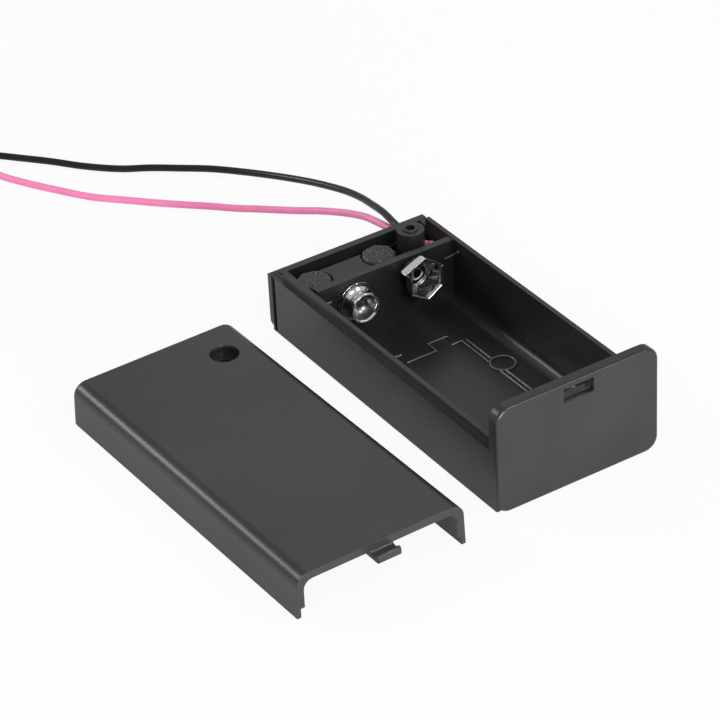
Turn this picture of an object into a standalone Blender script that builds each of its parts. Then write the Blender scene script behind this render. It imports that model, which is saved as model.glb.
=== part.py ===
# Nine volt battery holder: a moulded tray with a slide switch and two snap terminals,
# its lid taken off and laid beside it, and two loose leads.
# Built in millimetres and written out in metres. The origin is the centre of the tray's underside:
# +X points to the upright end plate, +Y away from the lid, +Z up.
import math

import bmesh
import bpy
from mathutils import Matrix, Vector

MM = 0.001
SEAT = 0.1            # clearance between pieces that sit on each other
SLIP = 0.1            # clearance round a shank in its hole

# Tray
TRAY_LENGTH = 71.6
SIDE_INSET = 0.1      # side faces below the ledge, in from the end plate's edges
WALL = 1.7
FLOOR = 1.2
FLOOR_FILLET = 2.5
BOTTOM_EDGE = 0.6
RAIL_RISE = 1.75      # rail top above the ledge
RAIL_INSET = 0.8
RAIL_FROM_END = 3.8   # the rails start this far from the leads' end
CORNER_RISE = 0.2     # the two corners there, above the ledge

# End plate, with the slot for the lid's tab
PLATE_WIDTH = 33.6
PLATE_HEIGHT = 21.0
PLATE_THICKNESS = 2.2
PLATE_CORNER = 2.6
PLATE_EDGE = 0.55
TAB_SIDE = 0.1        # the tab's middle, across the tray
SLOT_WIDTH = 6.2
SLOT_TOP = 0.9        # below the plate's top
SLOT_HEIGHT = 2.75
SLOT_STEP = 0.45      # the inner half of the slot is this much lower in height
SLOT_STEP_DEPTH = 1.1

# End wall at the leads
FLANGE_OVERHANG = 0.1  # each side, past the end plate's width
FLANGE_THICKNESS = 1.2
FLANGE_RISE = 0.05     # above the ledge
FLANGE_CORNER = 2.5
END_WALL = 1.9
END_WALL_RISE = 0.3   # its inner half above the flange
GROOVE_WIDTH = 0.8
GROOVE_DEPTH = 0.4
LEAD_FROM_WALL = 3.1  # the leads' hole, in from the side wall's inner face
RED_DROP = 2.7        # the red lead, below the ledge
BLACK_DROP = 1.1      # the black lead, below the ledge

# Divider between the terminal compartment and the battery bay
DIVIDER_FROM_END = 12.7   # outer end face to the divider's bay side
DIVIDER_THICKNESS = 1.5
DIVIDER_DROP = 0.3
DIVIDER_NOTCH = 0.8
DIVIDER_NOTCH_DEPTH = 2.0
SIGN_LENGTH = 2.0
SIGN_STROKE = 0.4
SIGN_RELIEF = 0.25
SIGN_FROM_WALL = 1.3  # the dash's middle, in from the side wall
SIGN_DROP = 1.5       # below the ledge

# Screw boss
BOSS_FROM_END = 7.1
BOSS_FROM_WALL = 5.45  # in from the side wall's inner face
BOSS_RADIUS = 2.6
BOSS_RING_RADIUS = 1.4
BOSS_RING_RISE = 0.3
PILOT_RADIUS = 0.9
PILOT_DEPTH = 8.0

# Lid
LID_GAP = 0.3         # to the end plate when closed, and below the plate's top
LID_FIT = 0.1         # round the rails and over the ledge when closed
LID_HEIGHT = 8.4
LID_TOP = 1.5
LID_CORNER = 2.5
LID_FAR_EDGE = 1.0    # rounding of its far top edge
LID_FLARE = 0.05      # its lower edge, each side, past the end plate's width
LID_DRAFT = 0.2       # each side, narrower at the top
LID_SKIRT = 1.6
LID_END_WALL = 1.5    # closes the far end outside the tray's flange
LID_END_FIT = 0.4     # between that wall and the flange, when closed
LID_FAR_X = -32.1     # where it lies: the middle of its far end
LID_FAR_Y = -43.7
LID_TURN = 1.2        # degrees
TAB_WIDTH = 4.5
TAB_REACH = 2.5
TAB_THICKNESS = 0.9
TAB_LIP = 0.5
TAB_ROOT = 3.0
TAB_DROP = 0.3        # its upper face, below the underside of the top
COUNTERBORE_RADIUS = 2.68
COUNTERBORE_DEPTH = 1.9
CUP_FLOOR = 1.2
SCREW_HOLE_RADIUS = 1.1
SLEEVE_WALL = 0.8
SLEEVE_RADIUS = 2.4
SLEEVE_LENGTH = 1.95

# Snap terminals
SNAP_SPACING = 12.7
MALE_DROP = 3.1       # below the ledge
FEMALE_DROP = 1.9
SNAP_FLANGE = 4.0
SHEET = 0.35
MALE_REACH = 3.2
MALE_RADIUS = 2.9
MALE_NECK = 2.4
FEMALE_REACH = 4.0
FEMALE_FLAT = 3.42    # middle of the socket to a flat, at its rim
FEMALE_NECK = 2.9
RIVET_RADIUS = 1.3
RIVET_BORE = 0.8
RIVET_HEAD = 1.7
RIVET_REAR_HEAD = 2.0
RIVET_HEAD_THICKNESS = 0.35
TAG_RADIUS = 2.6
TAG_LUG_WIDTH = 2.0
TAG_LUG_REACH = 3.3   # the male tag's lug, upwards
TAG_LUG_SIDE = 4.9    # the female tag's lug, towards the red lead

# Slide switch, carried by two posts under melted heads
SWITCH_SHARE = -0.27  # of the inner half width: the switch's middle
POST_SHARE = 0.94     # of the inner half width: between the posts
POST_RADIUS = 1.2
HEAD_RADIUS = 3.0
HEAD_HEIGHT = 1.3
RETAINER_DROP = 3.55  # its underside, below the ledge
EAR_THICKNESS = 2.1
EAR_HALF_WIDTH = 2.65
BRIDGE_RISE = 0.95
BRIDGE_HALF_WIDTH = 2.5
BRIDGE_NOTCH = 3.5
TRAVEL = 2.5
KNOB_LENGTH = 3.6
KNOB_WIDTH = 3.0
KNOB_RECESS = 0.3     # its face above the underside
KNOB_SLIP = 0.15
KNOB_GROOVE = 0.3
SLIDER_PLATE_LENGTH = 9.0
SLIDER_PLATE_WIDTH = 5.0
SLIDER_PLATE_THICKNESS = 1.2
SLIDER_BLOCK_LENGTH = 5.6
SLIDER_BLOCK_WIDTH = 3.6
WIPER_ROOM = 3.05     # the slider's top, below the retainer
WIPER_THICKNESS = 0.2
WIPER_WIDTH = 2.0
WIPER_BUMP = 2.0      # each bump from the middle
CONTACT_THICKNESS = 0.25
CONTACT_WIDTH = 2.4
CONTACT_LUG_WIDTH = 1.6

# Leads
LEAD_RADIUS = 0.7
LEAD_LENGTH = 145.0   # insulated, from the end wall
BARE_LENGTH = 5.0
BARE_RADIUS = 0.4
LINK_RADIUS = 0.25
LEAD_STEP = 3.3       # spacing of the tube's points
COIL_X = -122.4
COIL_Y = -40.0
COIL_Z = 1.1
BLACK_COIL_RADIUS = 9.3
RED_COIL_RADIUS = 7.7
RED_COIL_CLOSING = 1.8    # the red turn draws in by this each turn
BLACK_COIL_START = 127.0  # degrees, where each lead joins its coil
RED_COIL_START = 94.0
TIE_TURN = 150.0      # degrees, direction of the tie from the coil's middle
TIE_WIDTH = 2.0
TIE_THICKNESS = 0.3
TIE_SLACK = 0.35      # round the inner lead, which curves more

# Marks raised on the bay's floor: part of a battery's outline, and an ejector's ring
MARK_RELIEF = 0.2
MARK_WIDTH = 0.4
MARK_NEAR = 4.3       # the outline's end line stops here, across from the tray's middle
MARK_FAR = 7.6        # the outline's long side
MARK_END_X = -10.2
MARK_TERMINAL = 2.8   # the outline's terminals stand out this far
MARK_TERMINAL_LOW = 2.1
MARK_TERMINAL_HIGH = 6.2
MARK_RIGHT_X = 12.4
MARK_GAP_START = -1.6  # a gap in the long side, at the ring
MARK_GAP_END = 1.7
MARK_PITCH = 0.95     # to a second line beside the long side
RING_X = 0.1
RING_Y = 9.4
RING_RADIUS = 2.5

# Colours used more than once
RED_PVC = (0.8, 0.05, 0.2)
BLACK_PVC = (0.03, 0.03, 0.03)
TINNED = (0.75, 0.75, 0.74)

# Places worked out from the sizes
SIDE_SPAN = PLATE_WIDTH - 2 * SIDE_INSET
LID_TOP_HEIGHT = PLATE_HEIGHT - LID_GAP   # with the lid on
LEDGE_HEIGHT = LID_TOP_HEIGHT - LID_HEIGHT - LID_FIT
FLANGE_WIDTH = PLATE_WIDTH + 2 * FLANGE_OVERHANG
FLANGE_HEIGHT = LEDGE_HEIGHT + FLANGE_RISE
END_X = -TRAY_LENGTH / 2
FRONT_X = TRAY_LENGTH / 2
PLATE_BACK_X = FRONT_X - PLATE_THICKNESS
WALL_IN_X = END_X + END_WALL
DIVIDER_BAY_X = END_X + DIVIDER_FROM_END
DIVIDER_REAR_X = DIVIDER_BAY_X - DIVIDER_THICKNESS
SIDE_Y = SIDE_SPAN / 2
RAIL_Y = SIDE_Y - RAIL_INSET
INNER_Y = SIDE_Y - WALL
RAIL_TOP = LEDGE_HEIGHT + RAIL_RISE
RAIL_START_X = END_X + RAIL_FROM_END
LEAD_HOLE_SIDE = INNER_Y - LEAD_FROM_WALL
LEAD_HOLE_LOW = LEDGE_HEIGHT - RED_DROP
LEAD_HOLE_HIGH = LEDGE_HEIGHT - BLACK_DROP
BOSS_X = END_X + BOSS_FROM_END
BOSS_SIDE = INNER_Y - BOSS_FROM_WALL
BOSS_TOP = LID_TOP_HEIGHT - COUNTERBORE_DEPTH - CUP_FLOOR - SLEEVE_LENGTH - LID_FIT - BOSS_RING_RISE
LID_OVERHANG = LID_END_WALL + LID_END_FIT
LID_LENGTH = TRAY_LENGTH - PLATE_THICKNESS - LID_GAP + LID_OVERHANG
SWITCH_X = (WALL_IN_X + DIVIDER_REAR_X) / 2
SWITCH_SIDE = SWITCH_SHARE * INNER_Y
POST_SPACING = POST_SHARE * INNER_Y
RETAINER_UNDERSIDE = LEDGE_HEIGHT - RETAINER_DROP
SLIDER_TOP = RETAINER_UNDERSIDE - WIPER_ROOM
EAR_TOP = RETAINER_UNDERSIDE + EAR_THICKNESS
CONTACT_TOP = RETAINER_UNDERSIDE - SEAT
CONTACT_UNDERSIDE = CONTACT_TOP - CONTACT_THICKNESS
SLIDER_REST_Y = SWITCH_SIDE - TRAVEL / 2
TAG_X = DIVIDER_REAR_X - SEAT
TAG_REAR_X = TAG_X - SHEET
RIVET_REAR_X = TAG_REAR_X - SEAT
MALE_Y = -SNAP_SPACING / 2
FEMALE_Y = SNAP_SPACING / 2
MALE_HEIGHT = LEDGE_HEIGHT - MALE_DROP
FEMALE_HEIGHT = LEDGE_HEIGHT - FEMALE_DROP
TERMINALS = (("male", MALE_Y, MALE_HEIGHT), ("female", FEMALE_Y, FEMALE_HEIGHT))
BITE = 0.3            # how far a rib or wall runs into the wall that it grows from


# Outlines

def arc(middle_a, middle_b, radius, start, end, steps):
    """Points on an arc, angles in degrees."""
    points = []
    for i in range(steps + 1):
        t = math.radians(start + (end - start) * i / steps)
        points.append((middle_a + radius * math.cos(t), middle_b + radius * math.sin(t)))
    return points


def rounded_box(a0, a1, b0, b1, radius, steps=6):
    """A rectangle with equal round corners, anticlockwise from the lower right."""
    corners = ((a1 - radius, b0 + radius, -90), (a1 - radius, b1 - radius, 0),
               (a0 + radius, b1 - radius, 90), (a0 + radius, b0 + radius, 180))
    points = []
    for a, b, start in corners:
        points += arc(a, b, radius, start, start + 90, steps)
    return points


def half_round_bar(a0, a1, b0, b1, steps=8):
    """A bar along b with half-round ends."""
    radius = (a1 - a0) / 2
    middle = (a0 + a1) / 2
    end = arc(middle, b1 - radius, radius, 0, 180, steps)
    return end + arc(middle, b0 + radius, radius, 180, 360, steps)


def strip_outline(centreline, thickness):
    """The outline of a bent strip, from its middle line."""
    left, right = [], []
    for i, (a, b) in enumerate(centreline):
        a0, b0 = centreline[max(i - 1, 0)]
        a1, b1 = centreline[min(i + 1, len(centreline) - 1)]
        run = math.hypot(a1 - a0, b1 - b0)
        na, nb = -(b1 - b0) / run * thickness / 2, (a1 - a0) / run * thickness / 2
        left.append((a + na, b + nb))
        right.append((a - na, b - nb))
    return left + right[::-1]


# Solids

def prism(axis, outline, low, high):
    """An outline extruded along X, Y or Z."""
    places = {"X": lambda a, b, c: (c, a, b), "Y": lambda a, b, c: (a, c, b), "Z": lambda a, b, c: (a, b, c)}
    place = places[axis]
    bm = bmesh.new()
    face = bm.faces.new([bm.verts.new(place(a, b, low)) for a, b in outline])
    grown = bmesh.ops.extrude_face_region(bm, geom=[face])["geom"]
    moving = [v for v in grown if isinstance(v, bmesh.types.BMVert)]
    bmesh.ops.translate(bm, vec=place(0, 0, high - low), verts=moving)
    bmesh.ops.recalc_face_normals(bm, faces=bm.faces[:])
    return bm


def box(x0, x1, y0, y1, z0, z1):
    return prism("Z", [(x0, y0), (x1, y0), (x1, y1), (x0, y1)], z0, z1)


def loft(rings):
    """Rings of points with equal counts, joined in order and capped."""
    bm = bmesh.new()
    rows = [[bm.verts.new(p) for p in ring] for ring in rings]
    count = len(rows[0])
    for row, following in zip(rows, rows[1:]):
        for i in range(count):
            j = (i + 1) % count
            bm.faces.new((row[i], row[j], following[j], following[i]))
    bm.faces.new(rows[0][::-1])
    bm.faces.new(rows[-1])
    bmesh.ops.recalc_face_normals(bm, faces=bm.faces[:])
    return bm


def turned(profile, steps=32):
    """A profile of (radius, height) turned about Z: it ends on the axis, or is a closed loop off it."""
    bm = bmesh.new()
    on_axis = profile[0][0] == 0
    verts = [bm.verts.new((r, 0, h)) for r, h in profile]
    edges = [bm.edges.new(pair) for pair in zip(verts, verts[1:])]
    if not on_axis:
        edges.append(bm.edges.new((verts[-1], verts[0])))
    bmesh.ops.spin(bm, geom=verts + edges, cent=(0, 0, 0), axis=(0, 0, 1), angle=2 * math.pi, steps=steps,
                   use_merge=True)
    bmesh.ops.remove_doubles(bm, verts=bm.verts[:], dist=1e-4)
    bmesh.ops.recalc_face_normals(bm, faces=bm.faces[:])
    return bm


def rod(radius, low, high, steps=32):
    """A round rod along Z."""
    return turned([(0, low), (radius, low), (radius, high), (0, high)], steps)


def hexagon_reach(angle, share):
    """The reach of a hexagon with a corner up, at this angle, for a flat at 1; share 0 is round."""
    off = (angle + math.pi / 6) % (math.pi / 3) - math.pi / 6
    return 1 - share + share / math.cos(off)


def pressed(profile, steps=48):
    """A closed loop of (radius, height, hexagon share) swept about Z."""
    bm = bmesh.new()
    rows = []
    for i in range(steps):
        t = 2 * math.pi * i / steps
        row = []
        for r, h, share in profile:
            reach = r * hexagon_reach(t, share)
            row.append(bm.verts.new((reach * math.cos(t), reach * math.sin(t), h)))
        rows.append(row)
    count = len(profile)
    for i in range(steps):
        row, following = rows[i], rows[(i + 1) % steps]
        for k in range(count):
            m = (k + 1) % count
            bm.faces.new((row[k], row[m], following[m], following[k]))
    bmesh.ops.recalc_face_normals(bm, faces=bm.faces[:])
    return bm


def moved(bm, x, y, z):
    bmesh.ops.translate(bm, vec=(x, y, z), verts=bm.verts[:])
    return bm


def facing_front(bm, x, y, z):
    """Turns a solid made along Z so that it points along +X, with its old +Y up, and places it."""
    turn = Matrix(((0, 0, 1), (1, 0, 0), (0, 1, 0)))
    bmesh.ops.transform(bm, matrix=turn.to_4x4(), verts=bm.verts[:])
    return moved(bm, x, y, z)


# Objects and materials

def finish(name, color, roughness, metallic=0.0):
    material = bpy.data.materials.new(name)
    material.use_nodes = True
    shader = material.node_tree.nodes["Principled BSDF"]
    shader.inputs["Base Color"].default_value = (*color, 1.0)
    shader.inputs["Roughness"].default_value = roughness
    shader.inputs["Metallic"].default_value = metallic
    material.diffuse_color = (*color, 1.0)
    return material


def solid(name, bm, material=None):
    """The bmesh, in millimetres, as an object in metres."""
    bmesh.ops.scale(bm, vec=(MM, MM, MM), verts=bm.verts[:])
    mesh = bpy.data.meshes.new(name)
    bm.to_mesh(mesh)
    bm.free()
    made = bpy.data.objects.new(name, mesh)
    bpy.context.scene.collection.objects.link(made)
    if material:
        dress(made, material)
    return made


def dress(piece, material):
    """Gives the piece its own material, and smooth round faces."""
    piece.data.materials.clear()
    piece.data.materials.append(material)
    piece.data.shade_smooth()
    piece.data.set_sharp_from_angle(angle=math.radians(32))


def combine(piece, tools, operation):
    """Adds or cuts each tool, in order, and removes the tools."""
    made = [solid("tool", bm) for bm in tools]
    for tool in made:
        step = piece.modifiers.new(operation.lower(), "BOOLEAN")
        step.operation = operation
        step.solver = "EXACT"
        step.object = tool
    bpy.context.view_layer.update()
    result = bpy.data.meshes.new_from_object(piece.evaluated_get(bpy.context.evaluated_depsgraph_get()))
    piece.modifiers.clear()
    old, piece.data = piece.data, result
    bpy.data.meshes.remove(old)
    for tool in made:
        mesh = tool.data
        bpy.data.objects.remove(tool)
        bpy.data.meshes.remove(mesh)
    bpy.context.view_layer.update()
    return piece


# Tray

def trough():
    """The floor and the two sides, with their ledges and rails, as one section along the tray."""
    fillet_y = INNER_Y - FLOOR_FILLET
    right = [(RAIL_Y, LEDGE_HEIGHT), (RAIL_Y, RAIL_TOP), (INNER_Y, RAIL_TOP)]
    right += arc(fillet_y, FLOOR + FLOOR_FILLET, FLOOR_FILLET, 0, -90, 6)
    half = arc(SIDE_Y - BOTTOM_EDGE, BOTTOM_EDGE, BOTTOM_EDGE, -90, 0, 4) + [(SIDE_Y, LEDGE_HEIGHT)] + right
    outline = half + [(-y, z) for y, z in reversed(half)]
    return prism("X", outline, END_X + FLANGE_THICKNESS / 2, FRONT_X - PLATE_THICKNESS / 2)


def end_plate():
    """The upright plate, with its front edge rounded."""
    def ring(x, inset):
        half = PLATE_WIDTH / 2 - inset
        outline = rounded_box(-half, half, inset, PLATE_HEIGHT - inset, PLATE_CORNER - inset)
        return [(x, y, z) for y, z in outline]
    rings = [ring(PLATE_BACK_X, 0)]
    for i in range(5):
        t = math.radians(90 * i / 4)
        rings.append(ring(FRONT_X - PLATE_EDGE * (1 - math.sin(t)), PLATE_EDGE * (1 - math.cos(t))))
    return loft(rings)


def end_wall():
    """The outer flange at the leads, and the inner half of that wall, a little higher."""
    half = FLANGE_WIDTH / 2
    flange = arc(half - FLANGE_CORNER, FLANGE_CORNER, FLANGE_CORNER, -90, 0, 6) + [(half, FLANGE_HEIGHT)]
    flange += [(-y, z) for y, z in reversed(flange)]
    inner = box(END_X + FLANGE_THICKNESS / 2, WALL_IN_X, -INNER_Y - BITE, INNER_Y + BITE,
                FLOOR / 2, FLANGE_HEIGHT + END_WALL_RISE)
    return [prism("X", flange, END_X, END_X + FLANGE_THICKNESS), inner]


def divider():
    wall = box(DIVIDER_REAR_X, DIVIDER_BAY_X, -INNER_Y - BITE, INNER_Y + BITE, FLOOR / 2,
               RAIL_TOP - DIVIDER_DROP)
    half, middle, height = SIGN_LENGTH / 2, INNER_Y - SIGN_FROM_WALL, LEDGE_HEIGHT - SIGN_DROP
    dashes = [box(DIVIDER_BAY_X - BITE, DIVIDER_BAY_X + SIGN_RELIEF, y - half, y + half,
                  height - SIGN_STROKE / 2, height + SIGN_STROKE / 2) for y in (-middle, middle)]
    return [wall, *dashes]


def screw_boss():
    """A column with a flat top and a raised ring round the pilot hole."""
    top, ring = BOSS_TOP, BOSS_TOP + BOSS_RING_RISE
    profile = [(0, FLOOR / 2), (BOSS_RADIUS, FLOOR / 2), (BOSS_RADIUS, top), (BOSS_RING_RADIUS, top),
               (BOSS_RING_RADIUS, ring), (PILOT_RADIUS, ring), (PILOT_RADIUS, ring - PILOT_DEPTH),
               (0, ring - PILOT_DEPTH)]
    return moved(turned(profile, 28), BOSS_X, BOSS_SIDE, 0)


def staked_post(side):
    """A post of the tray with its top melted over the retainer's ear."""
    low = EAR_TOP + SEAT
    profile = [(0, FLOOR / 2), (POST_RADIUS, FLOOR / 2), (POST_RADIUS, low), (HEAD_RADIUS - 0.2, low),
               (HEAD_RADIUS, low + 0.3), (HEAD_RADIUS - 0.2, low + HEAD_HEIGHT * 0.6),
               (HEAD_RADIUS * 0.72, low + HEAD_HEIGHT * 0.9), (HEAD_RADIUS * 0.35, low + HEAD_HEIGHT),
               (0, low + HEAD_HEIGHT * 0.95)]
    return moved(turned(profile, 20), SWITCH_X, SWITCH_SIDE + side * POST_SPACING / 2, 0)


def floor_marks():
    """Raised lines on the bay's floor: part of a battery's outline, and an ejector's ring."""
    low, high = FLOOR / 2, FLOOR + MARK_RELIEF
    back_x, out_x = MARK_END_X, MARK_END_X - MARK_TERMINAL
    strokes = (
        ((back_x, -MARK_NEAR), (back_x, MARK_TERMINAL_LOW), (out_x, MARK_TERMINAL_LOW),
         (out_x, MARK_TERMINAL_HIGH), (back_x, MARK_TERMINAL_HIGH), (back_x, MARK_FAR),
         (MARK_GAP_START, MARK_FAR)),
        ((out_x, -MARK_FAR), (out_x, -MARK_NEAR)),
        ((MARK_GAP_END, MARK_FAR), (MARK_RIGHT_X, MARK_FAR)),
        ((back_x, MARK_FAR + MARK_PITCH), (RING_X - RING_RADIUS + MARK_WIDTH / 2, MARK_FAR + MARK_PITCH)),
        ((RING_X + RING_RADIUS - MARK_WIDTH / 2, MARK_FAR + MARK_PITCH), (MARK_RIGHT_X, MARK_FAR + MARK_PITCH)),
    )
    marks = [prism("Z", strip_outline_square(path, MARK_WIDTH), low, high) for path in strokes]
    inner = RING_RADIUS - MARK_WIDTH
    ring = turned([(inner, low), (RING_RADIUS, low), (RING_RADIUS, high), (inner, high)], 24)
    return marks + [moved(ring, RING_X, RING_Y, 0)]


def strip_outline_square(path, width):
    """The outline of a stroke with square turns, for a path that turns by right angles."""
    left, right = [], []
    for i, (a, b) in enumerate(path):
        offset = Vector((0, 0))
        for (a0, b0), (a1, b1) in zip(path[max(i - 1, 0):i + 1], path[max(i - 1, 0) + 1:i + 2]):
            run = math.hypot(a1 - a0, b1 - b0)
            normal = Vector((-(b1 - b0) / run, (a1 - a0) / run)) * width / 2
            offset = Vector((offset.x or normal.x, offset.y or normal.y))
        left.append((a + offset.x, b + offset.y))
        right.append((a - offset.x, b - offset.y))
    return left + right[::-1]


def tray_cuts():
    slot_top = PLATE_HEIGHT - SLOT_TOP
    slot_low = slot_top - SLOT_HEIGHT
    y0, y1 = TAB_SIDE - SLOT_WIDTH / 2, TAB_SIDE + SLOT_WIDTH / 2
    step_x = FRONT_X - SLOT_STEP_DEPTH
    cuts = [
        box(step_x, FRONT_X + 1, y0, y1, slot_low, slot_top),
        box(PLATE_BACK_X - 1, step_x + 0.1, y0 + SLOT_STEP / 2, y1 - SLOT_STEP / 2,
            slot_low + SLOT_STEP, slot_top),
    ]
    x0 = END_X + FLANGE_THICKNESS
    for side in (-1, 1):
        y_out, y_in = side * (FLANGE_WIDTH / 2 + 1), side * (SIDE_Y - GROOVE_DEPTH)
        cuts.append(box(x0, x0 + GROOVE_WIDTH, min(y_out, y_in), max(y_out, y_in),
                        BOTTOM_EDGE, LEDGE_HEIGHT - 0.3))
    for _, y, z in TERMINALS:
        hole = rod(RIVET_RADIUS + SLIP, -DIVIDER_THICKNESS - 0.5, 0.5, 24)
        cuts.append(facing_front(hole, DIVIDER_BAY_X, y, z))
    radius = LEAD_RADIUS + SEAT
    lead_hole = half_round_bar(LEAD_HOLE_SIDE - radius, LEAD_HOLE_SIDE + radius,
                               LEAD_HOLE_LOW - radius, LEAD_HOLE_HIGH + radius)
    cuts.append(prism("X", lead_hole, END_X - 1, WALL_IN_X + 1))
    slot_half_x = KNOB_WIDTH / 2 + KNOB_SLIP
    slot_half_y = KNOB_LENGTH / 2 + TRAVEL / 2 + KNOB_SLIP
    cuts.append(box(SWITCH_X - slot_half_x, SWITCH_X + slot_half_x, SWITCH_SIDE - slot_half_y,
                    SWITCH_SIDE + slot_half_y, -1, FLOOR + 1))
    cuts.append(box(DIVIDER_REAR_X - 1, DIVIDER_BAY_X + 1, -INNER_Y, -INNER_Y + DIVIDER_NOTCH,
                    RAIL_TOP - DIVIDER_DROP - DIVIDER_NOTCH_DEPTH, RAIL_TOP))
    return cuts


def make_tray():
    tray = solid("tray", trough())
    over_corners = box(END_X - 1, RAIL_START_X, -PLATE_WIDTH, PLATE_WIDTH,
                       LEDGE_HEIGHT + CORNER_RISE, PLATE_HEIGHT)
    combine(tray, [over_corners], "DIFFERENCE")
    combine(tray, [end_plate(), *end_wall(), *divider()], "UNION")
    combine(tray, tray_cuts(), "DIFFERENCE")
    combine(tray, [screw_boss(), staked_post(-1), staked_post(1), *floor_marks()], "UNION")
    dress(tray, finish("black_abs_tray", (0.035, 0.035, 0.037), 0.42))


# Lid

def lid_body():
    """The lid's outside: flared sides, round long edges, and a round edge at the far top."""
    def ring(inset, back):
        half, height = PLATE_WIDTH / 2 + LID_FLARE - inset / 2, LID_HEIGHT - inset
        middle = half - LID_DRAFT - LID_CORNER
        side = [(half, 0)] + arc(middle, height - LID_CORNER, LID_CORNER, 0, 90, 6)
        outline = side + [(-y, z) for y, z in reversed(side)]
        return [(back + LID_DRAFT * z / LID_HEIGHT, y, z) for y, z in outline]
    rings = []
    for i in range(4):
        t = math.radians(90 * i / 3)
        rings.append(ring(LID_FAR_EDGE * (1 - math.sin(t)), LID_FAR_EDGE * (1 - math.cos(t))))
    rings.append([(LID_LENGTH, y, z) for _, y, z in rings[-1]])
    return loft(rings)


def lid_room():
    """The space inside the lid, open at the near end; a step in each skirt takes the tray's rail."""
    lip_y = RAIL_Y + LID_FIT
    inner_y = PLATE_WIDTH / 2 - LID_SKIRT
    step_z = RAIL_RISE
    radius = LID_CORNER - LID_SKIRT / 2
    high = LID_HEIGHT - LID_TOP
    inside = [(lip_y, -1), (lip_y, step_z), (inner_y, step_z)]
    inside += arc(inner_y - radius, high - radius, radius, 0, 90, 4)
    return prism("X", inside + [(-y, z) for y, z in reversed(inside)], LID_END_WALL, LID_LENGTH + 1)


def lid_tab():
    """The latch: a strip under the top, with a scoop at its root and a rounded lip at its end."""
    high = LID_HEIGHT - LID_TOP - TAB_DROP
    low = high - TAB_THICKNESS
    end = LID_LENGTH + TAB_REACH
    lip = TAB_LIP
    side = [(LID_LENGTH - TAB_ROOT, low), (end - lip, low)] + arc(end - lip, low + lip, lip, -90, 0, 3)
    side += arc(end - lip, high + lip * 0.5, lip, 0, 180, 6)
    side += [(end - 2.4 * lip, high), (LID_LENGTH + 0.5, high + 0.1), (LID_LENGTH + 0.2, high + 0.3),
             (LID_LENGTH, high + TAB_DROP + 0.3), (LID_LENGTH - BITE, high + TAB_DROP + 0.35),
             (LID_LENGTH - TAB_ROOT, high + TAB_DROP + 0.35)]
    return prism("Y", side, TAB_SIDE - TAB_WIDTH / 2, TAB_SIDE + TAB_WIDTH / 2)


def make_lid():
    floor_z = LID_HEIGHT - COUNTERBORE_DEPTH
    cup_low = floor_z - CUP_FLOOR
    sleeve_low = cup_low - SLEEVE_LENGTH
    screw_x = BOSS_FROM_END + LID_OVERHANG
    lid = solid("lid", lid_body())
    combine(lid, [lid_room()], "DIFFERENCE")
    cup = rod(COUNTERBORE_RADIUS + SLEEVE_WALL, cup_low, LID_HEIGHT - LID_TOP / 2, 32)
    sleeve = rod(SLEEVE_RADIUS, sleeve_low, cup_low + 0.2, 32)
    adds = [moved(bm, screw_x, BOSS_SIDE, 0) for bm in (cup, sleeve)]
    combine(lid, [*adds, lid_tab()], "UNION")
    bore = rod(COUNTERBORE_RADIUS, floor_z, LID_HEIGHT + 1, 32)
    screw_hole = rod(SCREW_HOLE_RADIUS, sleeve_low - 1, LID_HEIGHT, 24)
    combine(lid, [moved(bm, screw_x, BOSS_SIDE, 0) for bm in (bore, screw_hole)], "DIFFERENCE")
    dress(lid, finish("black_abs_lid", (0.04, 0.04, 0.042), 0.4))
    lid.rotation_euler.z = math.radians(LID_TURN)
    lid.location = (LID_FAR_X * MM, LID_FAR_Y * MM, 0)


# Snap terminals

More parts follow.
